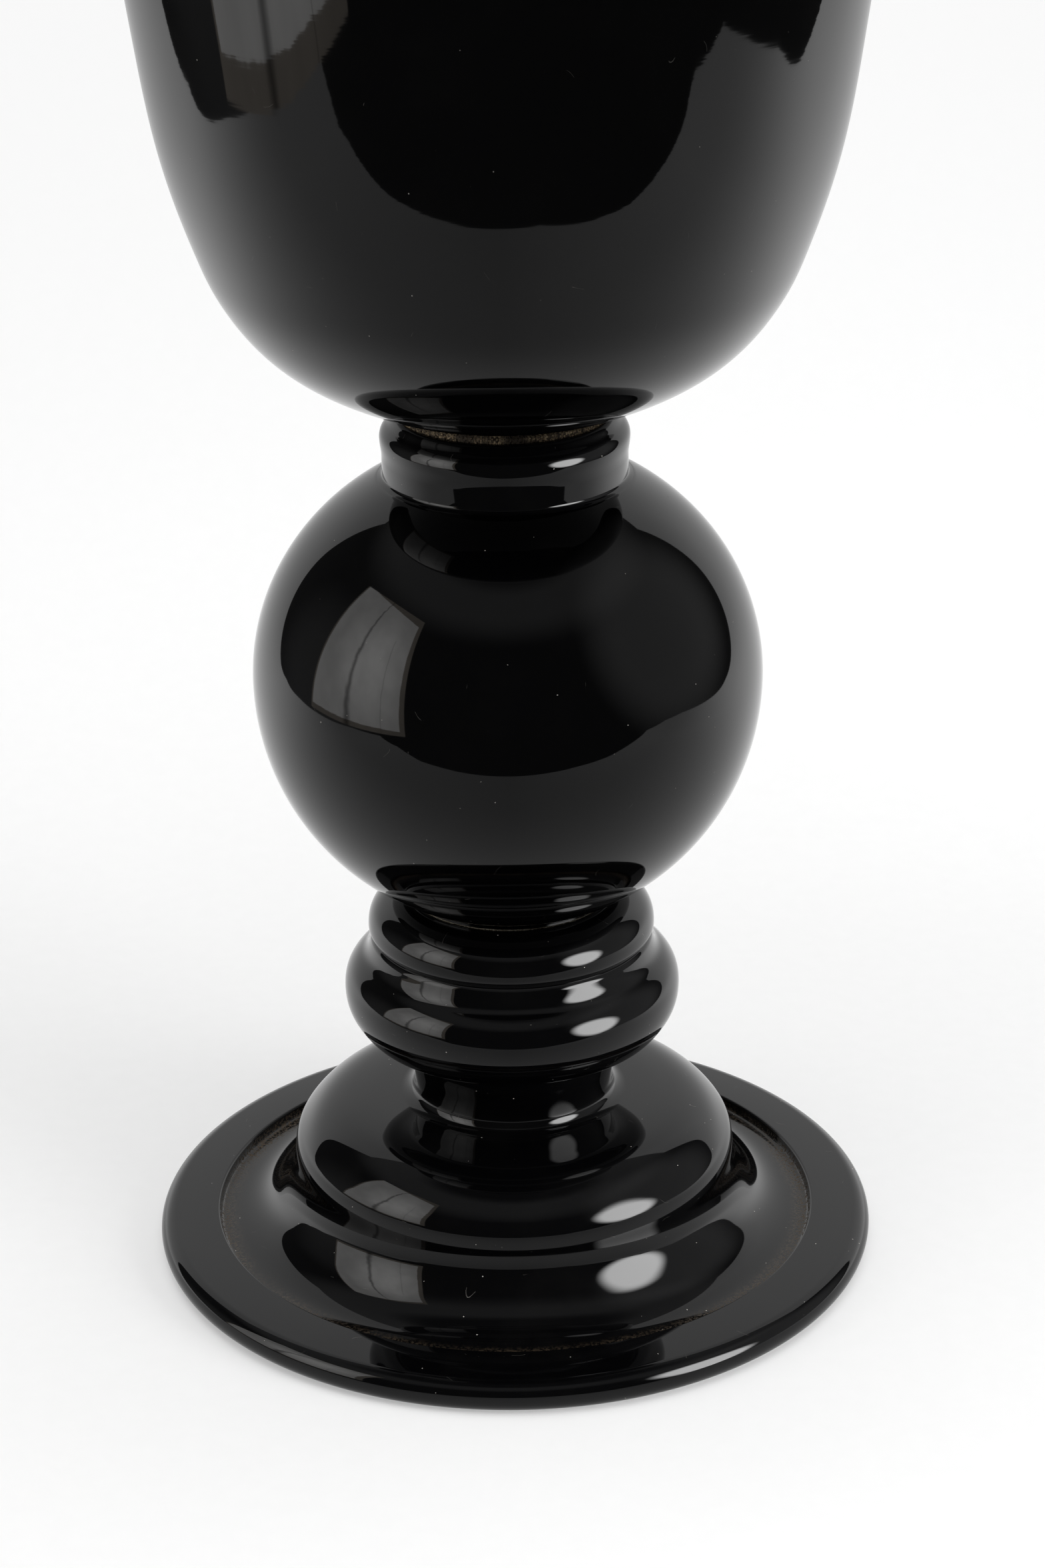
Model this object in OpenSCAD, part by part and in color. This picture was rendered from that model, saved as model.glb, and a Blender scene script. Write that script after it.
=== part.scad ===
// Tall footed vase in black glass: a ringed foot, a hollow ball and a bell-shaped
// bowl, stacked on one axis and drawn together by a tie rod through their middles.
// Millimetres, +Z up. The origin is the middle of the face that the foot rests on.

/* [Foot] */
// Diameter of the foot over its rounded rim
foot_d = 270; // [250:1:300]
// Thickness of the rim, whose edge is half round
rim_t = 12; // [9:0.5:14]
// Rise of the rim's upper face from its edge to its inner lip
rim_rise = 1; // [0:0.25:2]
// Width of the rim, from its edge in to the lip where the groove begins
rim_w = 22.5; // [19:0.5:27.5]
// Radius that breaks the lip's corner
lip_r = 1; // [0.5:0.25:1.5]
// Width of the groove inside the lip
groove_w = 3; // [2:0.25:4]
// Depth of the groove below the lip
groove_depth = 4; // [2.5:0.25:5]
// Width of the cove, from the groove in to the cushion's steep edge
cove_w = 26.7; // [22:0.1:32]
// Height of the cushion's steep edge above the table
cushion_edge_h = 35; // [32:0.5:40]
// Rise of the cushion's crown above its edge
cushion_rise = 24.8; // [22:0.5:30]
// Width of the underside of the rim, from its edge in to the hollow
rest_w = 38; // [33:0.5:45]

/* [Stem] */
// Diameter of the neck between cushion and ring
neck_d = 73; // [68:0.5:78]
// Height of the neck, from the crown to the ring's underside
neck_h = 20.2; // [17:0.2:24]
// Radius of the sweep from the crown into the neck
neck_flare = 6.5; // [4:0.5:8]
// Diameter of the large ring
ring_d = 124.3; // [118:0.1:130]
// Height of the large ring, up to the fine groove
ring_h = 45.8; // [42:0.2:50]
// Diameter at the bottom of the fine groove between ring and bead
fine_groove_d = 102.4; // [99:0.2:103]
// Width of the fine groove
fine_groove_w = 1.6; // [1:0.1:2.2]
// Diameter of the bead on top of the ring
bead_d = 105.7; // [104.5:0.1:110]
// Height of the bead, from the fine groove to the seat of the ball
bead_h = 16.2; // [14:0.2:18]

/* [Ball] */
// Diameter of the ball
ball_d = 183.1; // [173:0.1:193]
// Height of the ball's lower half, a little more than a round one's
ball_low_h = 92.1; // [88:0.1:96]
// Height of the ball's upper half, a little flatter than a round one's
ball_top_h = 85.6; // [82:0.1:90]
// Diameter of the short stub that the ball stands on
stub_d = 75; // [72:0.5:80]
// Height of the stub below the ball's own curve
stub_h = 1.2; // [1:0.1:3]
// Diameter of the collar on the ball
collar_d = 86.8; // [83:0.2:91]
// Height of the collar's top above the top of the ball's own curve
collar_rise = 11.9; // [9:0.1:15]
// Diameter of the collar's rounded bead
collar_bead_d = 88.1; // [87.2:0.1:93]
// Height of the rounded bead, from its lower line to the collar's top
collar_bead_h = 14.6; // [12:0.1:16]
// Depth of the fine line under the rounded bead
collar_line_depth = 0.4; // [0.2:0.1:0.8]
// Diameter of the hole down through the collar
collar_bore_d = 62; // [56:0.5:66]

/* [Bowl] */
// Height of the bowl
bowl_h = 215; // [204:1:226]
// Diameter of the flat that the bowl stands on
bowl_seat_d = 77; // [73:0.5:80]
// Diameter of the bowl's wall where the belly ends
belly_d = 211.7; // [203:0.1:220]
// Height of that place above the bowl's seat
belly_h = 61; // [56:0.5:66]
// Diameter of the wall halfway up
wall_d = 243.3; // [237:0.1:250]
// Height of that place above the bowl's seat
wall_h = 126; // [118:1:134]
// Diameter of the wall where it begins to flare to the mouth
flare_d = 254; // [250:0.1:262]
// Height of that place above the bowl's seat
flare_h = 165; // [158:1:172]
// Diameter of the mouth over its rolled lip
mouth_d = 286; // [280:1:298]
// Thickness of the rolled lip
mouth_lip_t = 9; // [7:0.5:11]

/* [Glass] */
// Thickness of the bowl's wall
bowl_wall = 6; // [5:0.25:8]
// Thickness of the bowl's floor
bowl_floor = 12; // [10:0.5:14]
// Thickness of the ball's wall
ball_wall = 6; // [5:0.25:8]
// Thickness of the ball's floor, measured from the stub's underside
ball_floor = 11; // [9:0.5:13]
// Thickness of the foot and of its stem
foot_wall = 7; // [6:0.25:8]
// Thickness of the web that closes the neck
web_t = 11; // [9:0.5:13]
// Bore for the rod through the web and the ball's floor
rod_bore_d = 13; // [12:0.25:15]

/* [Beds and seals] */
// Thickness of the thin bed of cement under the ball
cement_bed_t = 0.4; // [0.3:0.1:1]
// Width of the cement bed
cement_bed_w = 7; // [5:0.5:8]
// Thickness of the cork ring under the bowl
cork_ring_t = 2.1; // [1.6:0.1:3]
// Outer diameter of the cork ring
cork_ring_d = 75; // [72:0.5:78]
// Width of the cork ring
cork_ring_w = 5; // [4:0.5:6]
// Thickness of the flange of the rubber seal in the bowl
seal_t = 2; // [1.5:0.25:3]
// Thickness of the seal's sleeve round the rod
seal_sleeve_t = 1.8; // [1.2:0.1:2.4]
// Diameter of the seal's flange
seal_d = 38; // [34:0.5:44]
// Thickness of the rubber cushion under the web
under_pad_t = 3; // [2:0.25:4]
// Diameter of the rubber cushion under the web
under_pad_d = 44; // [40:0.5:48]

/* [Tie rod] */
// Diameter of the tie rod
rod_d = 10; // [8:0.5:11]
// Length of rod that shows below the lock nut
rod_tail = 4; // [2:0.5:6]
// Chamfer on the rod's ends
rod_chamfer = 1; // [0.5:0.25:1.5]
// Diameter of the steel washer in the bowl
bowl_washer_d = 34; // [30:0.5:38]
// Diameter of the steel washer under the foot
foot_washer_d = 40; // [36:0.5:44]
// Thickness of the two steel washers
washer_t = 2.5; // [2:0.25:3.5]
// Outer diameter of the spring washer
spring_washer_d = 18; // [16.5:0.25:20]
// Thickness of the spring washer
spring_washer_t = 2.2; // [1.6:0.1:2.8]
// Width of the nuts across their flats
nut_af = 17; // [16:0.5:19]
// Height of the main nut
nut_h = 8; // [7:0.5:9]
// Height of the lock nut
lock_nut_h = 5; // [4:0.5:6]
// Height of the cap nut's hexagon
cap_hex_h = 7; // [6:0.5:8]
// Height of the cap nut's dome above its hexagon
cap_dome_h = 8; // [7.5:0.25:9]
// Depth of the cap nut's hole
cap_hole_h = 11; // [10:0.5:12]
// Clearance all round between the rod and what is threaded or slipped on it
rod_gap = 0.15; // [0.1:0.05:0.3]

/* [Hidden] */

// Segments in each curve of a profile, and round the axis
curve_steps = 14;
$fn = 128;
// How far cuts run past the faces that they open
overrun = 1;

// Radii of the foot, counted in from its edge
foot_lip_r = foot_d / 2 - rim_w;
cushion_r = foot_lip_r - groove_w - cove_w;
rest_bore_r = foot_d / 2 - rest_w;

// Heights of the stack above the table
crown_z = cushion_edge_h + cushion_rise;
neck_top_z = crown_z + neck_h;
fine_groove_z = neck_top_z + ring_h;
foot_top_z = fine_groove_z + bead_h;
ball_foot_z = foot_top_z + cement_bed_t;
ball_mid_z = ball_foot_z + stub_drop() + ball_low_h;
collar_top_z = ball_mid_z + ball_top_h + collar_rise;
bowl_foot_z = collar_top_z + cork_ring_t;
bowl_top_z = bowl_foot_z + bowl_h;

// Heights of the hardware on the rod
web_under_z = crown_z - web_t;
bowl_floor_z = bowl_foot_z + bowl_floor;
bowl_washer_z = bowl_floor_z + seal_t;
cap_nut_z = bowl_washer_z + washer_t;
foot_washer_z = web_under_z - under_pad_t - washer_t;
spring_washer_z = foot_washer_z - spring_washer_t;
rod_nut_z = spring_washer_z - nut_h;
lock_nut_z = rod_nut_z - lock_nut_h;
rod_foot_z = lock_nut_z - rod_tail;
rod_top_z = cap_nut_z + cap_hole_h - rod_chamfer;
threaded_d = rod_d + 2 * rod_gap;
bowl_bore_d = threaded_d + 2 * seal_sleeve_t;

// Finishes, as they look under plain light
black_glass = [0.02, 0.02, 0.022];
old_cement = [0.72, 0.69, 0.62];
cork = [0.55, 0.45, 0.31];
rubber = [0.07, 0.07, 0.07];
steel = [0.62, 0.63, 0.65];

// Drop from the ball's own lowest curve, at the stub's radius, down to the stub's foot,
// given as the distance from the bottom of the full ball to the foot of the stub
function stub_drop() = stub_h - ball_sag(stub_d / 2, ball_d / 2, ball_low_h);

// How far the surface of a ball of half width a, whose half is c high, stands at the
// radius r from the level of its lowest or highest point
function ball_sag(r, a, c) = c * (1 - sqrt(1 - pow(r / a, 2)));

// A place on a profile: its radius, its height and the direction of travel there
function place(r, z, heading) = [r, z, heading];

// A cubic curve from place p to place q, which leaves and arrives along their headings.
// Its handles are this share of the straight distance, which makes a quarter round of
// two places at right angles. The first point is left out, so that curves join up.
round_share = 0.39;
function bend(p, q) =
    let (
        reach = norm([q[0] - p[0], q[1] - p[1]]),
        a = [p[0], p[1]],
        b = a + round_share * reach * [cos(p[2]), sin(p[2])],
        d = [q[0], q[1]],
        c = d - round_share * reach * [cos(q[2]), sin(q[2])]
    )
    [
        for (i = [1 : curve_steps])
            let (t = i / curve_steps)
            pow(1 - t, 3) * a + 3 * t * pow(1 - t, 2) * b + 3 * t * t * (1 - t) * c + pow(t, 3) * d
    ];

// A curve through a list of places
function trace(places) = [
    each [[places[0][0], places[0][1]]],
    for (i = [1 : len(places) - 1]) each bend(places[i - 1], places[i])
];

// A place moved across its heading, to the left of the way that it travels
function beside(p, t) = place(p[0] - t * sin(p[2]), p[1] + t * cos(p[2]), p[2]);

// A place travelled the other way
function turned(p) = place(p[0], p[1], p[2] + 180);

// Shares of the cove's height: how far its turn stands out from the cushion, and how high
cove_out_share = 0.25;
cove_up_share = 0.34;
// Shares of the cushion's rise: how far its shoulder stands in from the edge, and how high
shoulder_in_share = 0.122;
shoulder_up_share = 0.47;
// Shares of the neck's flare at the middle of the sweep
flare_out_share = 0.3;
flare_up_share = 0.35;
// Shares of the ring's height at its widest place and where its top turns hollow, and the
// share of the rise between them by which it has drawn in there
ring_crest_share = 0.533;
ring_turn_share = 0.8;
ring_draw_share = 0.508;
// Shares of the ring's swell, out from the neck and up to the widest place, at the root
// of its underside and at its fullest place below
ring_root_out_share = 0.16;
ring_root_up_share = 0.15;
ring_full_out_share = 0.783;
ring_full_up_share = 0.415;
// Shares of the bead's height at its widest place and at its shoulder, and the share of
// the rise between them by which the shoulder stands in
bead_crest_share = 0.2;
bead_shoulder_share = 0.81;
bead_draw_share = 0.47;
// Share of the groove's depth at which its outer wall meets its floor
groove_foot_share = 0.2;
// Headings of travel: the slight fall of the rim's face, and the slopes at the turns
rim_heading = 178;
lip_heading = 262;
groove_heading = 240;
cove_heading = 128;
cushion_edge_heading = 91;
shoulder_heading = 127;
crown_heading = 169;
flare_heading = 125;
neck_top_heading = 85;
ring_root_heading = 22;
ring_full_heading = 51;
ring_turn_heading = 143;
ring_top_heading = 106;
bead_foot_heading = 60;
bead_shoulder_heading = 140;
seat_heading = 176;

// Outline of the foot, from the edge that it rests on, round the rim and up to the seat
function foot_outline() =
    let (
        rim_z = rim_t / 2,
        rim_r = foot_d / 2,
        lip_z = rim_t + rim_rise,
        groove_z = lip_z - groove_depth,
        cove_h = cushion_edge_h - groove_z,
        neck_r = neck_d / 2,
        ring_r = ring_d / 2,
        fine_r = fine_groove_d / 2,
        bead_r = bead_d / 2,
        ring_crest_z = neck_top_z + ring_h * ring_crest_share,
        ring_turn_z = neck_top_z + ring_h * ring_turn_share,
        swell = ring_r - neck_r,
        swell_h = ring_crest_z - neck_top_z,
        bead_crest_z = fine_groove_z + bead_h * bead_crest_share,
        bead_shoulder_z = fine_groove_z + bead_h * bead_shoulder_share
    )
    concat(
        trace([
            place(rim_r - rim_z, 0, 0),
            place(rim_r, rim_z, 90),
            place(rim_r - rim_z, rim_t, rim_heading)
        ]),
        trace([
            place(foot_lip_r + lip_r, lip_z, rim_heading),
            place(foot_lip_r, lip_z - lip_r, lip_heading)
        ]),
        trace([
            place(foot_lip_r - groove_w * groove_foot_share,
                groove_z + groove_depth * groove_foot_share, groove_heading),
            place(foot_lip_r - groove_w, groove_z, 180),
            place(cushion_r + cove_h * cove_out_share, groove_z + cove_h * cove_up_share, cove_heading),
            place(cushion_r, cushion_edge_h, cushion_edge_heading),
            place(cushion_r - cushion_rise * shoulder_in_share,
                cushion_edge_h + cushion_rise * shoulder_up_share, shoulder_heading),
            place(neck_r + neck_flare, crown_z, crown_heading)
        ]),
        trace([
            place(neck_r + neck_flare * flare_out_share,
                crown_z + neck_flare * flare_up_share, flare_heading),
            place(neck_r, crown_z + neck_flare, 90),
            place(neck_r, neck_top_z, neck_top_heading),
            place(neck_r + swell * ring_root_out_share, neck_top_z + swell_h * ring_root_up_share,
                ring_root_heading),
            place(neck_r + swell * ring_full_out_share, neck_top_z + swell_h * ring_full_up_share,
                ring_full_heading),
            place(ring_r, ring_crest_z, 90),
            place(ring_r - (ring_turn_z - ring_crest_z) * ring_draw_share, ring_turn_z, ring_turn_heading),
            place(fine_r + fine_groove_w / 2, fine_groove_z - fine_groove_w, ring_top_heading)
        ]),
        trace([
            place(fine_r, fine_groove_z - fine_groove_w / 2, 90),
            place(fine_r + fine_groove_w / 4, fine_groove_z, bead_foot_heading),
            place(bead_r, bead_crest_z, 90),
            place(bead_r - (bead_shoulder_z - bead_crest_z) * bead_draw_share,
                bead_shoulder_z, bead_shoulder_heading),
            place(stub_d / 2, foot_top_z, seat_heading)
        ])
    );

module glass_foot() {
    color(black_glass)
    rotate_extrude()
    difference() {
        polygon(concat(foot_outline(), [[0, foot_top_z], [0, 0]]));
        under_hollow();
        stem_hollow();
        square([rod_bore_d / 2, foot_top_z]);
    }
}

// Section of the hollow under the foot, up to the web in the neck
module under_hollow() {
    polygon(concat(
        [[0, -overrun], [rest_bore_r, -overrun]],
        trace([
            place(rest_bore_r, 0, under_rim_heading),
            place(cushion_r - foot_wall, cushion_edge_h - foot_wall, under_edge_heading),
            place(under_pad_d / 2 + foot_wall, web_under_z, under_web_heading)
        ]),
        [[0, web_under_z]]
    ));
}

// Section of the hollow in the stem, from the web to the opening in the seat
module stem_hollow() {
    neck_inner_r = neck_d / 2 - foot_wall;
    chamber_r = ring_d / 2 - foot_wall * chamber_wall_share;
    opening_r = stub_d / 2 - cement_bed_w;
    polygon(concat(
        [[0, crown_z], [neck_inner_r - foot_wall / 2, crown_z]],
        trace([
            place(neck_inner_r, crown_z + foot_wall / 2, 90),
            place(neck_inner_r, neck_top_z, chamber_foot_heading),
            place(chamber_r, neck_top_z + ring_h * ring_crest_share, 90),
            place(opening_r + foot_wall / 2, fine_groove_z, chamber_top_heading),
            place(opening_r, foot_top_z - bead_h / 4, 90)
        ]),
        [[opening_r, foot_top_z + overrun], [0, foot_top_z + overrun]]
    ));
}
// Share of the foot's thickness that the ring's wall has, which gathers glass as it swells
chamber_wall_share = 1.6;
// Headings of travel in the two hollows
under_rim_heading = 150;
under_edge_heading = 92;
under_web_heading = 176;
chamber_foot_heading = 88;
chamber_top_heading = 120;

// A flat ring with square edges, from its inner and outer radius
module flat_ring(inner_r, outer_r, t) {
    rotate_extrude()
    translate([inner_r, 0])
    square([outer_r - inner_r, t]);
}

module cement_bed() {
    color(old_cement)
    translate([0, 0, foot_top_z])
    flat_ring(stub_d / 2 - cement_bed_w, stub_d / 2, cement_bed_t);
}

// Points of the ball's curve from a radius on its lower half to one on its upper half.
// Its half width is a, and its halves are low_h and top_h high.
function ball_arc(r_low, r_high, a, low_h, top_h) =
    let (from_angle = -acos(r_low / a), to_angle = acos(r_high / a))
    [
        for (i = [0 : ball_steps])
            let (t = from_angle + (to_angle - from_angle) * i / ball_steps)
            [a * cos(t), ball_mid_z + (t < 0 ? low_h : top_h) * sin(t)]
    ];
// Heading of the ball's curve at a radius, on the lower (-1) or the upper (1) half
function ball_heading(r, a, c, half) =
    let (t = half * acos(r / a))
    atan2(c * cos(t), -a * sin(t));
ball_steps = 64;
// Shares of the stub's height and of the collar's bead that their fillets reach out
stub_fillet_share = 3.6;
collar_fillet_share = 0.12;
// Shares of the collar bead's height at its widest place and at its shoulder
collar_crest_share = 0.43;
collar_shoulder_share = 0.77;
collar_draw_share = 0.51;
collar_shoulder_heading = 140;
collar_foot_heading = 80;

// Outline of the ball, from its foot to the top of its collar
function ball_outline() =
    let (
        a = ball_d / 2,
        stub_r = stub_d / 2,
        low_r = stub_r + stub_h * stub_fillet_share,
        low_z = ball_mid_z - ball_low_h + ball_sag(low_r, a, ball_low_h),
        collar_r = collar_d / 2,
        high_r = collar_r + collar_bead_h * collar_fillet_share,
        high_z = ball_mid_z + ball_top_h - ball_sag(high_r, a, ball_top_h),
        line_z = collar_top_z - collar_bead_h,
        bead_r = collar_bead_d / 2,
        crest_z = line_z + collar_bead_h * collar_crest_share,
        shoulder_z = line_z + collar_bead_h * collar_shoulder_share
    )
    concat(
        trace([
            place(stub_r, ball_foot_z, 90),
            place(stub_r, ball_foot_z + stub_h / 2, 90),
            place(low_r, low_z, ball_heading(low_r, a, ball_low_h, -1))
        ]),
        ball_arc(low_r, high_r, a, ball_low_h, ball_top_h),
        trace([
            place(high_r, high_z, ball_heading(high_r, a, ball_top_h, 1)),
            place(collar_r, high_z + collar_bead_h * collar_fillet_share, 90),
            place(collar_r, line_z - collar_line_depth, 90)
        ]),
        trace([
            place(collar_r - collar_line_depth, line_z, collar_foot_heading),
            place(bead_r, crest_z, 90),
            place(bead_r - (shoulder_z - crest_z) * collar_draw_share, shoulder_z, collar_shoulder_heading),
            place(cork_ring_d / 2, collar_top_z, seat_heading)
        ])
    );

module glass_ball() {
    color(black_glass)
    rotate_extrude()
    difference() {
        polygon(concat(ball_outline(), [[0, collar_top_z], [0, ball_foot_z]]));
        ball_hollow();
        translate([0, ball_foot_z - overrun])
        square([rod_bore_d / 2, ball_floor + 2 * overrun]);
    }
}

// Section of the hollow in the ball, up through the collar
module ball_hollow() {
    a = ball_d / 2 - ball_wall;
    low_h = ball_low_h - ball_wall;
    top_h = ball_top_h - ball_wall;
    floor_z = ball_foot_z + ball_floor;
    floor_r = a * sqrt(1 - pow((ball_mid_z - floor_z) / low_h, 2));
    bore_r = collar_bore_d / 2;
    polygon(concat(
        [[0, floor_z]],
        ball_arc(floor_r, bore_r, a, low_h, top_h),
        [[bore_r, collar_top_z + overrun], [0, collar_top_z + overrun]]
    ));
}

module cork_ring() {
    color(cork)
    translate([0, 0, collar_top_z])
    flat_ring(cork_ring_d / 2 - cork_ring_w, cork_ring_d / 2, cork_ring_t);
}

// Headings of the bowl's wall at its named places
bowl_seat_heading = 23;
haunch_heading = 57.5;
belly_heading = 69.8;
wall_heading = 82;
flare_foot_heading = 82.5;
lip_under_heading = 58;
lip_inner_heading = 252;
bowl_well_heading = 184;
// Shares of the belly's width and height at the haunch
haunch_r_share = 0.908;
haunch_h_share = 0.659;
// Shares of the lip's thickness by which its underside stands in and down from the mouth
lip_in_share = 0.65;
lip_down_share = 1.2;

// Places on the bowl's outer face, from the seat to just under the lip
function bowl_places() =
    let (
        lip_under_r = mouth_d / 2 - mouth_lip_t * lip_in_share,
        lip_under_z = bowl_top_z - mouth_lip_t * lip_down_share
    )
    [
        place(bowl_seat_d / 2, bowl_foot_z, bowl_seat_heading),
        place(belly_d / 2 * haunch_r_share, bowl_foot_z + belly_h * haunch_h_share, haunch_heading),
        place(belly_d / 2, bowl_foot_z + belly_h, belly_heading),
        place(wall_d / 2, bowl_foot_z + wall_h, wall_heading),
        place(flare_d / 2, bowl_foot_z + flare_h, flare_foot_heading),
        place(lip_under_r, lip_under_z, lip_under_heading)
    ];

// Outline of the bowl: up its outer face, over the rolled lip and down its inner face
function bowl_outline() =
    let (
        outside = bowl_places(),
        lip_r = mouth_lip_t / 2,
        lip_mid = mouth_d / 2 - lip_r,
        inside = [for (i = [len(outside) - 1 : -1 : 1]) turned(beside(outside[i], bowl_wall))]
    )
    concat(
        trace(concat(
            outside,
            [
                place(mouth_d / 2, bowl_top_z - lip_r, 90),
                place(lip_mid, bowl_top_z, 180),
                place(lip_mid - lip_r, bowl_top_z - lip_r, lip_inner_heading)
            ],
            inside,
            [place(seal_d / 2 + bowl_wall, bowl_floor_z, bowl_well_heading)]
        )),
        [[0, bowl_floor_z], [0, bowl_foot_z]]
    );

module glass_bowl() {
    color(black_glass)
    rotate_extrude()
    difference() {
        polygon(bowl_outline());
        translate([0, bowl_foot_z - overrun])
        square([bowl_bore_d / 2, bowl_floor + 2 * overrun]);
    }
}

module tie_rod() {
    r = rod_d / 2;
    color(steel)
    rotate_extrude()
    polygon([
        [0, rod_foot_z],
        [r - rod_chamfer, rod_foot_z],
        [r, rod_foot_z + rod_chamfer],
        [r, rod_top_z - rod_chamfer],
        [r - rod_chamfer, rod_top_z],
        [0, rod_top_z]
    ]);
}

// Sides of a nut, and the share of its half width that the cap nut's dome has
nut_sides = 6;
dome_share = 0.94;
// Share of a washer's thickness by which its edges are broken, the share of the spring
// washer's thickness that its cut is wide, and how far the cut leans
washer_edge_share = 0.2;
spring_cut_share = 0.35;
spring_cut_lean = 30;

// A hexagonal body with its corners broken above and below
module hexagon(h) {
    corner_r = nut_af / 2 / cos(180 / nut_sides);
    inset = (corner_r - nut_af / 2) / 2;
    intersection() {
        linear_extrude(h)
        circle(r = corner_r, $fn = nut_sides);
        rotate_extrude()
        polygon([
            [0, 0],
            [corner_r - inset, 0],
            [corner_r, inset],
            [corner_r, h - inset],
            [corner_r - inset, h],
            [0, h]
        ]);
    }
}

module nut(h) {
    difference() {
        hexagon(h);
        translate([0, 0, -overrun])
        cylinder(d = threaded_d, h = h + 2 * overrun);
    }
}

module cap_nut() {
    dome_r = nut_af / 2 * dome_share;
    color(steel)
    translate([0, 0, cap_nut_z])
    difference() {
        union() {
            hexagon(cap_hex_h);
            translate([0, 0, cap_hex_h / 2])
            rotate_extrude()
            polygon(concat(
                [[0, 0], [dome_r, 0], [dome_r, cap_hex_h / 2]],
                trace([
                    place(dome_r, cap_hex_h / 2, 90),
                    place(0, cap_hex_h / 2 + cap_dome_h, 180)
                ])
            ));
        }
        translate([0, 0, -overrun])
        cylinder(d = threaded_d, h = cap_hole_h + overrun);
    }
}

// A steel washer with both outer edges broken
module steel_washer(d, t) {
    inset = t * washer_edge_share;
    rotate_extrude()
    polygon([
        [threaded_d / 2, 0],
        [d / 2 - inset, 0],
        [d / 2, inset],
        [d / 2, t - inset],
        [d / 2 - inset, t],
        [threaded_d / 2, t]
    ]);
}

module bowl_washer() {
    color(steel)
    translate([0, 0, bowl_washer_z])
    steel_washer(bowl_washer_d, washer_t);
}

// The rubber seal: a flange on the bowl's floor and a sleeve down through its bore
module bowl_seal() {
    color(rubber)
    translate([0, 0, bowl_floor_z])
    rotate_extrude()
    polygon([
        [threaded_d / 2, -bowl_floor],
        [bowl_bore_d / 2, -bowl_floor],
        [bowl_bore_d / 2, 0],
        [seal_d / 2, 0],
        [seal_d / 2, seal_t],
        [threaded_d / 2, seal_t]
    ]);
}

module under_pad() {
    color(rubber)
    translate([0, 0, web_under_z - under_pad_t])
    flat_ring(threaded_d / 2, under_pad_d / 2, under_pad_t);
}

module foot_washer() {
    color(steel)
    translate([0, 0, foot_washer_z])
    steel_washer(foot_washer_d, washer_t);
}

// A spring washer, drawn flat, with its slanting cut
module spring_washer() {
    cut_w = spring_washer_t * spring_cut_share;
    color(steel)
    translate([0, 0, spring_washer_z])
    difference() {
        flat_ring(threaded_d / 2, spring_washer_d / 2, spring_washer_t);
        translate([0, 0, spring_washer_t / 2])
        rotate([spring_cut_lean, 0, 0])
        translate([0, -cut_w / 2, -spring_washer_t])
        cube([spring_washer_d, cut_w, 2 * spring_washer_t]);
    }
}

module rod_nut() {
    color(steel)
    translate([0, 0, rod_nut_z])
    nut(nut_h);
}

module lock_nut() {
    color(steel)
    translate([0, 0, lock_nut_z])
    nut(lock_nut_h);
}

glass_foot();
cement_bed();
glass_ball();
cork_ring();
glass_bowl();
tie_rod();
cap_nut();
bowl_washer();
bowl_seal();
under_pad();
foot_washer();
spring_washer();
rod_nut();
lock_nut();
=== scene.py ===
# %% [markdown]
# # A tall footed vase in black glass
#
# The real vase is three blown pieces of opaque black glass, a foot, a ball and a bowl,
# stacked on one axis and drawn together by a steel rod that nobody sees. Black glass has
# hardly any colour of its own: what the eye reads is the room, mirrored in it. So this
# lesson is mostly about two things, surfaces smooth enough to mirror, and a plain studio
# worth mirroring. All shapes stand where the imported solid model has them.

# %% Load the solid model and note its box
import math
import bpy
import numpy as np
from mathutils import Matrix, Vector


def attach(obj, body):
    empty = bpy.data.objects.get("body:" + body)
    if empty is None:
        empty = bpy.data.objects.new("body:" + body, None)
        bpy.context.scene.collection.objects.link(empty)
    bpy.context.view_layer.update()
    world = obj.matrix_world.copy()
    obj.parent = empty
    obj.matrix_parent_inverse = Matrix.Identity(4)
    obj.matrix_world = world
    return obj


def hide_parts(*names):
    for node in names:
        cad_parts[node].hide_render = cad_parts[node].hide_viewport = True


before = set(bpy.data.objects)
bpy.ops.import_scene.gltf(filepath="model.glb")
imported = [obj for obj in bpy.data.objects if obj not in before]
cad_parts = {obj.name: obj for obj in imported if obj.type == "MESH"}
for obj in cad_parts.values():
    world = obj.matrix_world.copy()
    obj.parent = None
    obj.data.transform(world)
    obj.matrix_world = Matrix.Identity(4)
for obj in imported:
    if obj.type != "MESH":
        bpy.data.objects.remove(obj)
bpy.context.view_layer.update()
MM = 0.001

# %% [markdown]
# ## The camera
#
# The photograph was taken from a little above the ball, with a lens of moderate length,
# so the rings read as ellipses and the foot is seen from above. The camera could be aimed
# with a constraint, but three plain turns are easier to read: a pitch of about 23 degrees
# down, and two turns of less than a degree for the tilt that the photograph has.

# %% Place the camera
LENS = 85
SENSOR = 36
CAMERA_PLACE = Vector((0, -1.2387, 0.7167))
PITCH, LEAN, ROLL = 66.7, -0.22, -0.69

camera_data = bpy.data.cameras.new("camera")
camera_data.lens = LENS
camera_data.sensor_fit = "VERTICAL"
camera_data.sensor_width = SENSOR
camera_data.sensor_height = SENSOR
camera = bpy.data.objects.new("camera", camera_data)
turns = [Matrix.Rotation(math.radians(angle), 4, axis)
         for angle, axis in ((LEAN, "Z"), (PITCH, "X"), (ROLL, "Z"))]
camera.matrix_world = Matrix.Translation(CAMERA_PLACE) @ turns[0] @ turns[1] @ turns[2]
scene = bpy.context.scene
scene.collection.objects.link(camera)
scene.camera = camera
scene.view_settings.view_transform = "Standard"
print("camera at", tuple(round(v, 3) for v in camera.location))

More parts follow.
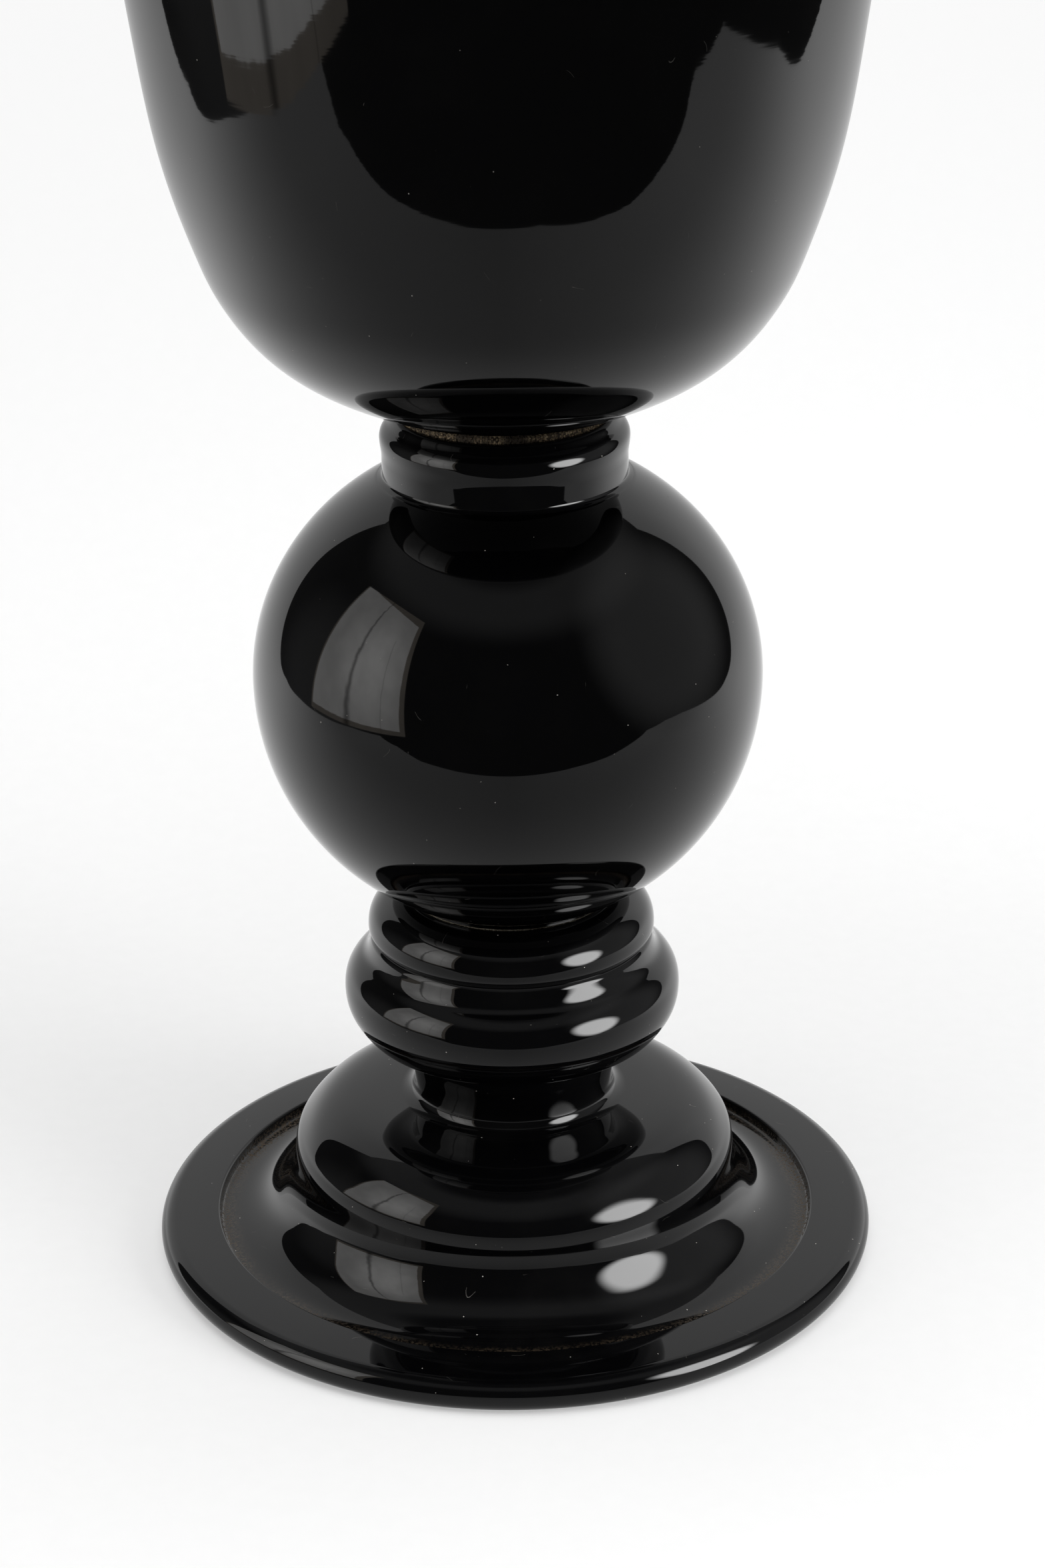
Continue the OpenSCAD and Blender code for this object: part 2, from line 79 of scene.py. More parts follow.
# %% [markdown]
# ## Turning a profile
#
# A blown and turned piece is round about its axis, so half of its section says all. The
# section could be drawn as a curve and turned with a Screw modifier, but a glass mirror
# shows every facet, so the points are worked out here and set exactly: a profile is a
# list of places, each with a radius, a height and a heading, and a cubic curve runs from
# each to the next. The surface is a function of two parameters, the way along the
# profile and the angle round the axis.

# %% Curves through places
HANDLE_SHARE = 0.39
POINT_GAP = 1.1
TURN_GAP = 3.0
FEWEST_POINTS = 3


def along(heading):
    """The unit vector of a heading in degrees, 0 outwards from the axis and 90 upwards."""
    h = math.radians(heading)
    return np.array([math.cos(h), math.sin(h)])


def bend(p, q):
    """Cubic curve from place p to place q, its two handles along their headings, each
    0.39 of the straight distance. More points where it is long or turns much."""
    a, d = np.array(p[:2], float), np.array(q[:2], float)
    reach = np.hypot(*(d - a))
    b = a + HANDLE_SHARE * reach * along(p[2])
    c = d - HANDLE_SHARE * reach * along(q[2])
    turn = abs((q[2] - p[2] + 180) % 360 - 180)
    count = int(max(FEWEST_POINTS, reach / POINT_GAP, turn / TURN_GAP))
    t = (np.arange(1, count + 1) / count)[:, None]
    return (1 - t) ** 3 * a + 3 * t * (1 - t) ** 2 * b + 3 * t**2 * (1 - t) * c + t**3 * d


def run(*places):
    """One smooth run of a profile through all its places, in millimetres."""
    parts = [np.array([places[0][:2]], float)]
    parts += [bend(p, q) for p, q in zip(places, places[1:])]
    return np.vstack(parts)


def beside(place, t):
    """The same place moved t to the left of its heading, and travelled the other way."""
    h = math.radians(place[2])
    return (place[0] - t * math.sin(h), place[1] + t * math.cos(h), place[2] + 180)


# %% The surface of revolution
ROUND = 256
SHARP = math.radians(32)
SAME_POINT = 1e-6


def make_mesh(name, points, faces):
    """A mesh object at the origin from points in metres and four-sided faces, shaded smooth."""
    mesh = bpy.data.meshes.new(name)
    mesh.from_pydata(points, [], faces)
    mesh.polygons.foreach_set("use_smooth", np.ones(len(mesh.polygons), bool))
    mesh.set_sharp_from_angle(angle=SHARP)
    mesh.update()
    piece = bpy.data.objects.new(name, mesh)
    scene.collection.objects.link(piece)
    return piece


def grid_faces(rows, columns):
    """Faces of a grid that closes on itself both ways: each square joins a row to the next."""
    i, j = np.meshgrid(np.arange(rows), np.arange(columns), indexing="ij")
    i2, j2 = (i + 1) % rows, (j + 1) % columns
    corners = [i * columns + j, i * columns + j2, i2 * columns + j2, i2 * columns + j]
    return np.stack(corners, -1).reshape(-1, 4)


def turned(name, loop, columns=ROUND, wobble=None):
    """A closed section turned about the axis: point (s, a) is (r(s) cos a, r(s) sin a, z(s)),
    with r and z in millimetres. wobble(r, a, z) may move the points before they are set."""
    keep = np.hypot(*(loop - np.roll(loop, 1, 0)).T) > SAME_POINT
    r, z = loop[keep].T
    a = np.arange(columns) * 2 * np.pi / columns
    r, a, z = np.broadcast_arrays(r[:, None], a[None, :], z[:, None])
    if wobble is not None:
        r, a, z = wobble(r, a, z)
    points = np.stack([r * np.cos(a), r * np.sin(a), z], -1).reshape(-1, 3) * MM
    piece = make_mesh(name, points, grid_faces(*r.shape))
    print(f"{name}: {r.shape[0]} points along, {len(piece.data.polygons) * 2} triangles,",
          "top at", round(points[:, 2].max() / MM, 2), "mm")
    return piece


# %% [markdown]
# ## The foot
#
# The foot was blown into a mould and then turned and polished: a flat rim with a half
# round edge, a groove, a hollow cove that climbs to a cushion, a short neck, a large ring
# and a bead on top of it. It is one piece of glass, hollow from below up to a web in the
# neck. The section is closed, outside and inside, so that the wall has its thickness.
# The neck is narrowest low down and widens upwards, which is hard to see in its outline
# but clear from what it mirrors, so its places were chosen by its reflections.

# %% The foot's section and surface
ROD_HOLE = 6.5

foot_rim = run((129, 0, 0), (135, 6, 90), (129, 12, 178))
foot_lip = run((113.5, 13, 178), (112.5, 12, 262))
foot_body = run((111.9, 9.8, 240), (109.5, 9, 180), (89.3, 17.84, 128), (82.8, 35, 91),
                (79.77, 46.66, 127), (60, 58.2, 172), (41.3, 59.6, 177))
foot_stem = run((38.4, 61, 130), (37, 65, 90), (38.3, 75, 80), (40, 80.6, 66), (44.5, 84.4, 25),
                (56.584, 90.131, 51), (62.15, 104.411, 90), (55.938, 116.64, 143), (52, 124.2, 106))
foot_bead = run((51.2, 125, 90), (51.6, 125.8, 60), (52.85, 129.04, 90), (48.205, 138.922, 140),
                (37.5, 142, 176))
stem_hollow = run((30.5, 142, 270), (30.5, 137.95, 270), (34, 125.8, 300), (50.95, 104.411, 270),
                  (29.5, 80, 268), (29.5, 63.3, 270))
under_hollow = run((29, 48.8, 356), (75.8, 28, 272), (97, 0, 330))
foot_section = np.vstack([foot_rim, foot_lip, foot_body, foot_stem, foot_bead, stem_hollow,
                          [(26, 59.8), (ROD_HOLE, 59.8), (ROD_HOLE, 48.8)], under_hollow])
foot = turned("foot_glass", foot_section)

# %% [markdown]
# ## The ball and its collar
#
# The ball is a second hollow piece, a little flatter above than below, on a short stub,
# with a collar on top that ends in a rounded bead. Two half ellipses give the ball better
# than cubic curves would. In Blender the collar is its own surface, from the fillet where
# it leaves the ball, because the soft lamp shows in the collar and not in the ball.

# %% The ball's section
BALL_HALF_W, BALL_LOW_H, BALL_TOP_H, BALL_MID = 91.55, 92.1, 85.6, 227.619
BALL_FOOT, COLLAR_TOP = 142.4, 325.119
STUB_TOP_R, COLLAR_FOOT_R = 41.82, 45.152
BALL_STEPS = 150
BALL_WALL, BALL_FLOOR, COLLAR_BORE = 6, 11, 31


def ball_arc(from_r, to_r, wall=0):
    """Points of the ball's two half ellipses, drawn in by the wall, from a radius on the lower
    one to a radius on the upper one: r = half width cos t, z = middle + half height sin t."""
    half_w = BALL_HALF_W - wall
    t = np.linspace(-math.acos(from_r / half_w), math.acos(to_r / half_w), BALL_STEPS)
    half_h = np.where(t < 0, BALL_LOW_H, BALL_TOP_H) - wall
    return np.stack([half_w * np.cos(t), BALL_MID + half_h * np.sin(t)], -1)


def ball_heading(r, half, half_h):
    """The ellipse's heading at a radius, in degrees, on its lower (-1) or upper (1) half."""
    t = half * math.acos(r / BALL_HALF_W)
    return math.degrees(math.atan2(half_h * math.cos(t), -BALL_HALF_W * math.sin(t)))


outer_arc = ball_arc(STUB_TOP_R, COLLAR_FOOT_R)
low, high = outer_arc[0], outer_arc[-1]
stub = run((37.5, BALL_FOOT, 90), (37.5, 143, 90), (*low, ball_heading(low[0], -1, BALL_LOW_H)))
floor_z = BALL_FOOT + BALL_FLOOR
floor_share = (BALL_MID - floor_z) / (BALL_LOW_H - BALL_WALL)
floor_r = (BALL_HALF_W - BALL_WALL) * math.sqrt(1 - floor_share**2)
inner_arc = ball_arc(floor_r, COLLAR_BORE, BALL_WALL)[::-1]
ball_section = np.vstack([stub, outer_arc[1:], [(COLLAR_BORE, high[1])], inner_arc,
                          [(ROD_HOLE, floor_z), (ROD_HOLE, BALL_FOOT)]])
ball = turned("ball_glass", ball_section)

collar_wall = run((*high, ball_heading(high[0], 1, BALL_TOP_H)), (43.4, high[1] + 1.752, 90),
                  (43.4, 310.119, 90))
collar_bead = run((43.4, 310.319, 90), (44.05, 316.797, 90), (41.518, 321.761, 140),
                  (37.5, COLLAR_TOP, 176))
collar_section = np.vstack([collar_wall, collar_bead,
                            [(COLLAR_BORE, COLLAR_TOP), (COLLAR_BORE, high[1])]])
collar = turned("collar_glass", collar_section)

# %% [markdown]
# ## The bowl
#
# The bowl is a bell: it leaves its small seat at a low angle, rounds the belly and climbs
# almost straight before it flares to a rolled lip. The inner face follows the outer one
# at the thickness of the wall, so it is made from the same places, moved inwards and
# travelled backwards.

# %% The bowl's section and surface
BOWL_WALL = 6
SEAL_HOLE, BOWL_SEAT, BOWL_FLOOR = 6.95, 327.219, 339.219
bowl_places = [(38.5, BOWL_SEAT, 23), (96.11, 367.418, 57.5), (105.85, 388.219, 69.8),
               (121.65, 453.219, 82), (127, 492.219, 82.5), (137.15, 531.419, 58)]
bowl_lip = [(143, 537.719, 90), (138.5, 542.219, 180), (134, 537.719, 252)]
bowl_inside = [beside(p, BOWL_WALL) for p in bowl_places[:0:-1]]
bowl_section = np.vstack([run(*bowl_places, *bowl_lip, *bowl_inside, (25, BOWL_FLOOR, 184)),
                          [(SEAL_HOLE, BOWL_FLOOR), (SEAL_HOLE, BOWL_SEAT)]])
bowl = turned("bowl_glass", bowl_section)

# %% [markdown]
# ## The beds between the pieces
#
# A thin bed of old cement carries the ball, and a ring of cork carries the bowl. Both
# are grains rather than smooth rings, and they show as a broken pale line and a thicker
# golden crescent. A texture alone would leave their edge a perfect circle, so the edge
# itself is nibbled: waves of several lengths round the ring move its outer radius in.

# %% Crumbling rings
GRAIN_WAVES = ((7, 0.35), (23, 0.5), (61, 0.6), (149, 0.8), (311, 0.9))
WAVE_SLANT, WAVE_HEIGHT = 0.9, 4
DEEPEST_SUM = 2.2
SIDE_ROWS = 5
CRUMB_COLUMNS = 900
CRUMB_SEED = 7


def crumbly_ring(name, inner, outer, low_z, high_z, bite):
    """A flat ring whose outer radius is its full radius less bite times a sum of sines of
    the angle, squared so that most of the edge stays full and some of it is chipped."""
    steps = np.linspace(0, 1, SIDE_ROWS)
    side = np.stack([np.full(SIDE_ROWS, float(outer)), low_z + (high_z - low_z) * steps], -1)
    section = np.vstack([[(inner, low_z)], side, [(inner, high_z)]])
    phases = np.random.default_rng(CRUMB_SEED).uniform(0, 2 * np.pi, len(GRAIN_WAVES))

    def chip(r, a, z):
        """Draw the outer points in by the waves, which lean a little with the height."""
        edge = sum(size * np.sin(count * a + phase + WAVE_SLANT * count * (z - low_z) / WAVE_HEIGHT)
                   for (count, size), phase in zip(GRAIN_WAVES, phases))
        depth = bite * np.clip(edge / DEEPEST_SUM, 0, 1) ** 2
        return np.where(r > inner, r - depth, r), a, z

    return turned(name, section, CRUMB_COLUMNS, chip)


cement = crumbly_ring("cement_bed_grains", inner=30.5, outer=37.5, low_z=142.0, high_z=BALL_FOOT,
                      bite=0.9)
cork = crumbly_ring("cork_ring_grains", inner=32.5, outer=37.5, low_z=COLLAR_TOP,
                    high_z=BOWL_SEAT, bite=0.7)

# %% [markdown]
# ## The tie rod
#
# The rod has a rolled thread at both ends and a plain shank between them. The thread is
# a radius that depends on height and angle together, which winds it up the rod. Cutting
# it with a boolean would take far longer and leave worse faces.

# %% The threaded rod
ROD_R, ROD_FOOT, ROD_TOP = 5.0, 24.1, 353.719
PITCH_MM, THREAD_DEPTH = 1.5, 0.7
LOWER_THREAD, UPPER_THREAD = 62, 26
ROWS_PER_PITCH = 6
ROD_COLUMNS = 40
THREAD_STEEP, THREAD_CREST = 1.25, 0.1
RUN_OUT = 1


def threaded_rod(name):
    """Radius = full radius less the thread's depth times a zigzag of height / pitch less
    angle / full turn, only where the rod is threaded, and with chamfered ends."""
    low_rows = np.arange(ROD_FOOT, ROD_FOOT + LOWER_THREAD, PITCH_MM / ROWS_PER_PITCH)
    top_rows = np.arange(ROD_TOP - UPPER_THREAD, ROD_TOP, PITCH_MM / ROWS_PER_PITCH)
    shank = [low_rows[-1] + RUN_OUT, top_rows[0] - RUN_OUT]
    z = np.concatenate([low_rows, shank, top_rows, [ROD_TOP]])
    columns = ROD_COLUMNS
    a = np.arange(columns) * 2 * np.pi / columns
    z, a = np.meshgrid(z, a, indexing="ij")
    turn = (z / PITCH_MM - a / (2 * np.pi)) % 1
    zigzag = np.clip(THREAD_STEEP * np.abs(2 * turn - 1) - THREAD_CREST, 0, 1)
    threaded = (z <= low_rows[-1]) | (z >= top_rows[0])
    chamfer = np.clip(1 - np.minimum(z - ROD_FOOT, ROD_TOP - z), 0, 1)
    r = np.minimum(ROD_R - THREAD_DEPTH * zigzag * threaded, ROD_R - chamfer)
    points = np.stack([r * np.cos(a), r * np.sin(a), z], -1).reshape(-1, 3)
    ends = np.array([(0, 0, ROD_FOOT), (0, 0, ROD_TOP)])
    count = len(points)
    faces = [tuple(f) for f in grid_faces(*r.shape).tolist() if abs(f[0] - f[3]) == columns]
    j = np.arange(columns)
    j2 = (j + 1) % columns
    top = count - columns
    for end, first, second in ((count, j2, j), (count + 1, top + j, top + j2)):
        fan = np.stack([np.full(columns, end), first, second], -1)
        faces += [tuple(f) for f in fan.tolist()]
    piece = make_mesh(name, np.vstack([points, ends]) * MM, faces)
    print(name, len(piece.data.polygons), "faces")
    return piece


rod = threaded_rod("threaded_rod")

# %% [markdown]
# ## Nodes in few words
#
# Each finish is a small tree of nodes. A short helper makes a node, sets its values and
# links its inputs, so that a finish reads as a list of what it is made of.

# %% A helper for node trees


def new_material(name):
    """A material that uses nodes and has none yet."""
    material = bpy.data.materials.new(name)
    material.use_nodes = True
    material.node_tree.nodes.clear()
    return material


def node(tree, kind, inputs=None, **settings):
    """One node: its settings, and its inputs by name or number, values or outputs to link."""
    made = tree.nodes.new("ShaderNode" + kind)
    for key, value in settings.items():
        setattr(made, key, value)
    for key, value in (inputs or {}).items():
        if isinstance(value, bpy.types.NodeSocket):
            tree.links.new(value, made.inputs[key])
        else:
            made.inputs[key].default_value = value
    return made


def maths(tree, operation, a, b=0.0):
    """The result of a Math node with one or two inputs."""
    return node(tree, "Math", {0: a, 1: b}, operation=operation).outputs[0]


def total(tree, first, *others):
    """The sum of several values."""
    for other in others:
        first = maths(tree, "ADD", first, other)
    return first


def ramp(tree, value, low, high, to_low=0.0, to_high=1.0, kind="SMOOTHSTEP"):
    """A smooth step of value between low and high."""
    inputs = {"Value": value, "From Min": low, "From Max": high, "To Min": to_low, "To Max": to_high}
    return node(tree, "MapRange", inputs, interpolation_type=kind).outputs[0]


def slope(tree, value, low, high, to_low=0.0, to_high=1.0):
    """A straight ramp of value between low and high."""
    return ramp(tree, value, low, high, to_low, to_high, "LINEAR")


def blend_colour(tree, share, a, b):
    """Colour a where share is 0, colour b where it is 1."""
    mix = node(tree, "Mix", {0: share, 6: a, 7: b}, data_type="RGBA")
    return mix.outputs[2]


def noise(tree, place, scale, detail=3.0, rough=0.5):
    """The grey value of a Noise texture at a scale, per metre."""
    inputs = {"Vector": place, "Scale": scale, "Detail": detail, "Roughness": rough}
    return node(tree, "TexNoise", inputs).outputs[0]


def clouds(tree, place, pattern, span, to_low=0.0, to_high=1.0):
    """A smooth step of a noise over a span of its grey values. The pattern is the noise's
    scale, its detail and, where it isn't a half, its roughness."""
    return ramp(tree, noise(tree, place, *pattern), *span, to_low, to_high)


def stretched(tree, place, scales):
    """The place scaled by its own share on each axis, for a pattern that is drawn out."""
    return node(tree, "Mapping", {"Vector": place, "Scale": scales}).outputs[0]


def round_the_axis(tree, place):
    """The distance from the axis, and the height."""
    x, y, z = node(tree, "SeparateXYZ", {0: place}).outputs
    squares = maths(tree, "ADD", maths(tree, "MULTIPLY", x, x), maths(tree, "MULTIPLY", y, y))
    return maths(tree, "SQRT", squares), z


# %% [markdown]
# ## Black glass
#
# The glass is nearly black and mirrors like any polished glass, about four parts in a
# hundred when seen square on and nearly all at a grazing look. The real one isn't
# optically perfect: fine rings from turning make the edges of reflections ragged, and
# longer swells bend them. Over it lie dust specks, a few hairs and a thin film of dust.
# Each of these is a layer that reads Object coordinates, so it stays on the glass.

# %% Layers that lie on the glass
GLASS_BLACK = (0.0009, 0.0009, 0.0011, 1)
DUST_PALE = (0.42, 0.40, 0.37, 1)
GRIME_BROWN = (0.075, 0.055, 0.036, 1)
HAIR_SCALE, HAIR_WIDTH, HAIR_RARITY, HAIR_PATCHES = 70, 0.0011, 0.70, 1.7


def specks(tree, place, scale, size, rarity):
    """1 inside small round specks: of the cells of a Voronoi pattern, only rare ones hold one."""
    cells = node(tree, "TexVoronoi", {"Vector": place, "Scale": scale})
    parts = node(tree, "SeparateColor", {0: cells.outputs["Color"]})
    chosen = maths(tree, "GREATER_THAN", parts.outputs[0], rarity)
    reach = maths(tree, "MULTIPLY", parts.outputs[1], size)
    inside = maths(tree, "LESS_THAN", cells.outputs["Distance"], reach)
    return maths(tree, "MULTIPLY", chosen, inside)


def hairs(tree, place):
    """1 on short curved hairs: a thin band round one level of a smooth noise, kept in patches."""
    level = noise(tree, place, HAIR_SCALE, 0.0)
    away = maths(tree, "ABSOLUTE", maths(tree, "SUBTRACT", level, 0.5))
    line = maths(tree, "LESS_THAN", away, HAIR_WIDTH)
    patch = maths(tree, "GREATER_THAN", noise(tree, place, HAIR_SCALE * HAIR_PATCHES, 1.0), HAIR_RARITY)
    return maths(tree, "MULTIPLY", line, patch)


# %% The black glass itself
GLOSS, SMEARED = 0.025, 2.2
SMEAR, SMEAR_SPAN = (9, 4.0), (0.35, 0.8)
GLASS_IOR = 1.5
FINE_DUST, COARSE_DUST, COARSE_RARER = (420, 0.10), (150, 0.045), 0.03
HAIR_SHARE = 0.18
FILM, FILM_SPAN, FILM_SHARE = (34, 6.0, 0.65), (0.45, 0.85), 0.004
DUST_ROUGH, GRIME_ROUGH = 0.8, 0.75
SWELL_SCALE, RIPPLE_SCALES = 16, (14, 14, 300)
GROOVE_INNER, GROOVE_OUTER = (0.1035, 0.1112), (0.1128, 0.1121)
GROOVE_HEIGHT = (0.0126, 0.0118)
GRIME_GRAIN, GRIME_GRAIN_SPAN = (900, 3.0, 0.7), (0.42, 0.62)
GRIME_PATCH, GRIME_PATCH_SPAN, GRIME_LEAST = (30, 3.0), (0.3, 0.62), 0.25


def black_glass(name, ripple_height, swell_height, dust_rarity, grime=None):
    """Black glass whose rings and swells have the given heights in metres, with its dust.
    grime(tree, place) may give a mask from 0 to 1 where brown dirt has gathered."""
    material = new_material(name)
    tree = material.node_tree
    place = node(tree, "TexCoord").outputs["Object"]
    fine = specks(tree, place, *FINE_DUST, dust_rarity)
    coarse = specks(tree, place, *COARSE_DUST, dust_rarity + COARSE_RARER)
    hair = maths(tree, "MULTIPLY", hairs(tree, place), HAIR_SHARE)
    dust = maths(tree, "MAXIMUM", maths(tree, "MAXIMUM", fine, coarse), hair)
    film = clouds(tree, place, FILM, FILM_SPAN, 0.0, FILM_SHARE)
    cover = maths(tree, "ADD", dust, film)
    colour = blend_colour(tree, cover, GLASS_BLACK, DUST_PALE)
    smear = clouds(tree, place, SMEAR, SMEAR_SPAN, GLOSS, GLOSS * SMEARED)
    rough = maths(tree, "MAXIMUM", smear, maths(tree, "MULTIPLY", dust, DUST_ROUGH))
    if grime is not None:
        dirt = grime(tree, place)
        colour = blend_colour(tree, dirt, colour, GRIME_BROWN)
        rough = maths(tree, "MAXIMUM", rough, maths(tree, "MULTIPLY", dirt, GRIME_ROUGH))
    swell = noise(tree, place, SWELL_SCALE, 1.0)
    bump = node(tree, "Bump", {"Strength": 1.0, "Distance": swell_height, "Height": swell})
    ripple = noise(tree, stretched(tree, place, RIPPLE_SCALES), 1.0, 2.0)
    bump = node(tree, "Bump", {"Strength": 1.0, "Distance": ripple_height, "Height": ripple,
                               "Normal": bump.outputs[0]})
    shader = node(tree, "BsdfPrincipled", {"Base Color": colour, "Roughness": rough,
                                           "IOR": GLASS_IOR, "Normal": bump.outputs[0]})
    node(tree, "OutputMaterial", {"Surface": shader.outputs[0]})
    print(name, len(tree.nodes), "nodes")
    return material


def groove_grime(tree, place):
    """Dirt in the groove of the foot: a band of radius, below the lip, broken into grains."""
    radius, height = round_the_axis(tree, place)
    band = maths(tree, "MULTIPLY", ramp(tree, radius, *GROOVE_INNER), ramp(tree, radius, *GROOVE_OUTER))
    low = ramp(tree, height, *GROOVE_HEIGHT)
    grain = clouds(tree, place, GRIME_GRAIN, GRIME_GRAIN_SPAN)
    patch = clouds(tree, place, GRIME_PATCH, GRIME_PATCH_SPAN, GRIME_LEAST, 1.0)
    where = maths(tree, "MULTIPLY", band, low)
    return maths(tree, "MULTIPLY", where, maths(tree, "MULTIPLY", grain, patch))


foot_finish = black_glass("polished_black_glass_foot", ripple_height=0.0000025,
                          swell_height=0.00006, dust_rarity=0.90, grime=groove_grime)
ball_finish = black_glass("polished_black_glass_ball", ripple_height=0.0000025,
                          swell_height=0.00006, dust_rarity=0.93)
bowl_finish = black_glass("polished_black_glass_bowl", ripple_height=0.000006,
                          swell_height=0.00012, dust_rarity=0.95)

# %% [markdown]
# ## Cork, cement, rubber and steel
#
# Cork is pressed grains, each with its own shade, so cells of a Voronoi pattern carry
# the colour and darker binder lies between them. Old cement is paler and finer. The
# rubber is matt and slightly dusty. The steel of the washers was turned, which leaves
# rings round the axis, and the nuts were plated, which leaves a faint mottle.

# %% The grains and the rubber
GRAIN_EDGE = (0.35, 0.75)
GRAINS_PER_PATCH, PATCH_DETAIL, PATCH_SPAN = 12, 4.0, (0.35, 0.65)
PATCH_SHARE, CORK_PATCH_SHARE = 0.6, 0.97
GRAIN_STRENGTH = 0.8


def grains(name, scale, dark, pale, binder, rough, height, patches=PATCH_SHARE):
    """A finish of pressed grains: a shade for each cell, and binder between the cells and in
    patches, bumped by the same cells."""
    material = new_material(name)
    tree = material.node_tree
    place = node(tree, "TexCoord").outputs["Object"]
    cells = node(tree, "TexVoronoi", {"Vector": place, "Scale": scale})
    parts = node(tree, "SeparateColor", {0: cells.outputs["Color"]})
    colour = blend_colour(tree, parts.outputs[0], dark, pale)
    edge = ramp(tree, cells.outputs["Distance"], *GRAIN_EDGE)
    colour = blend_colour(tree, edge, colour, binder)
    patchy = clouds(tree, place, (scale / GRAINS_PER_PATCH, PATCH_DETAIL), PATCH_SPAN, 0.0, patches)
    colour = blend_colour(tree, patchy, colour, binder)
    bump = node(tree, "Bump", {"Strength": GRAIN_STRENGTH, "Distance": height,
                               "Height": cells.outputs["Distance"]})
    shader = node(tree, "BsdfPrincipled", {"Base Color": colour, "Roughness": rough,
                                           "Normal": bump.outputs[0]})
    node(tree, "OutputMaterial", {"Surface": shader.outputs[0]})
    return material


cork_finish = grains("pressed_cork", scale=1500, dark=(0.11, 0.075, 0.04, 1),
                     pale=(0.56, 0.43, 0.26, 1), binder=(0.035, 0.025, 0.016, 1),
                     rough=0.85, height=0.0003, patches=CORK_PATCH_SHARE)
cement_finish = grains("old_cement", scale=2600, dark=(0.42, 0.37, 0.28, 1),
                       pale=(0.85, 0.80, 0.66, 1), binder=(0.10, 0.08, 0.05, 1),
                       rough=0.9, height=0.0002)
rubber_finish = grains("black_rubber", scale=5200, dark=(0.018, 0.018, 0.018, 1),
                       pale=(0.036, 0.035, 0.034, 1), binder=(0.028, 0.027, 0.026, 1),
                       rough=0.62, height=0.00002)

# %% The steels
RING_DETAIL, RING_ROUGH, RING_SPAN = 4.0, 0.7, (0.3, 0.7)
SMOOTH_RING, ROUGH_RING = 0.75, 1.35
MOTTLE, MOTTLE_SPAN, MOTTLE_DARK = (400, 5.0, 0.6), (0.3, 0.75), 0.72


def steel(name, colour, rough, ring_scale, ring_height):
    """Steel with fine rings round the axis, from the radius and the height, and a mottled shade."""
    material = new_material(name)
    tree = material.node_tree
    place = node(tree, "TexCoord").outputs["Object"]
    radius, height = round_the_axis(tree, place)
    ring = node(tree, "CombineXYZ", {0: radius, 2: height})
    rings = noise(tree, ring.outputs[0], ring_scale, RING_DETAIL, RING_ROUGH)
    shade = clouds(tree, place, MOTTLE, MOTTLE_SPAN, MOTTLE_DARK, 1.0)
    tint = node(tree, "Mix", {0: 1.0, 6: colour, 7: shade}, data_type="RGBA", blend_type="MULTIPLY")
    gloss = ramp(tree, rings, *RING_SPAN, rough * SMOOTH_RING, rough * ROUGH_RING)
    bump = node(tree, "Bump", {"Strength": 1.0, "Distance": ring_height, "Height": rings})
    shader = node(tree, "BsdfPrincipled", {"Base Color": tint.outputs[2], "Metallic": 1.0,
                                           "Roughness": gloss, "Normal": bump.outputs[0]})
    node(tree, "OutputMaterial", {"Surface": shader.outputs[0]})
    return material


washer_steel = steel("turned_steel", colour=(0.56, 0.55, 0.53, 1), rough=0.30,
                     ring_scale=5000, ring_height=0.000012)
nut_steel = steel("plated_steel", colour=(0.62, 0.61, 0.57, 1), rough=0.26,
                  ring_scale=1200, ring_height=0.000004)
rod_steel = steel("rolled_rod_steel", colour=(0.50, 0.50, 0.50, 1), rough=0.34,
                  ring_scale=2500, ring_height=0.000006)
cap_chrome = steel("polished_cap_nut", colour=(0.78, 0.79, 0.80, 1), rough=0.10,
                   ring_scale=900, ring_height=0.000001)

# %% [markdown]
# ## Every piece gets its finish and its place
#
# The new glass, beds and rod stand in for their solids. The small hardware keeps its
# solids, whose shapes are right, and only gets better finishes. All of it rides on the
# one body, because nothing on this vase moves.

# %% Dress the pieces


def dress(piece, finish):
    """The piece has this finish and no other."""
    piece.data.materials.clear()
    piece.data.materials.append(finish)


STANDS_FOR = [
    (foot, foot_finish, "glass_foot"), (ball, ball_finish, "glass_ball"),
    (collar, ball_finish, "glass_ball"), (bowl, bowl_finish, "glass_bowl"),
    (cement, cement_finish, "cement_bed"), (cork, cork_finish, "cork_ring"),
    (rod, rod_steel, "tie_rod"),
]
for piece, finish, solid in STANDS_FOR:
    dress(piece, finish)
    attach(piece, "root")
    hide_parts(solid)

KEPT = {"cap_nut": cap_chrome, "bowl_washer": washer_steel, "foot_washer": washer_steel,
        "spring_washer": nut_steel, "rod_nut": nut_steel, "lock_nut": nut_steel,
        "bowl_seal": rubber_finish, "under_pad": rubber_finish}
for name, finish in KEPT.items():
    dress(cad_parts[name], finish)
print("dressed", len(STANDS_FOR), "new pieces and", len(KEPT), "solids")

# %% [markdown]
# ## The paper sweep
#
# The vase stands on a wide sheet of white paper that lies flat under it, curves up behind
# it and hangs like a wall. A camera ray sees the paper's own pale colour with the vase's
# shadow on it, fading to white away from the vase. A ray that has bounced off the glass
# sees the paper as a plain glow, dim in front, brightest on the table behind the vase and
# lower again up the wall. The paper's edges matter too, because the ball and the bowl
# mirror them as the border of the dark room, so they have the outline and the slight curl
# of a real cut sheet.

# %% Stage helpers


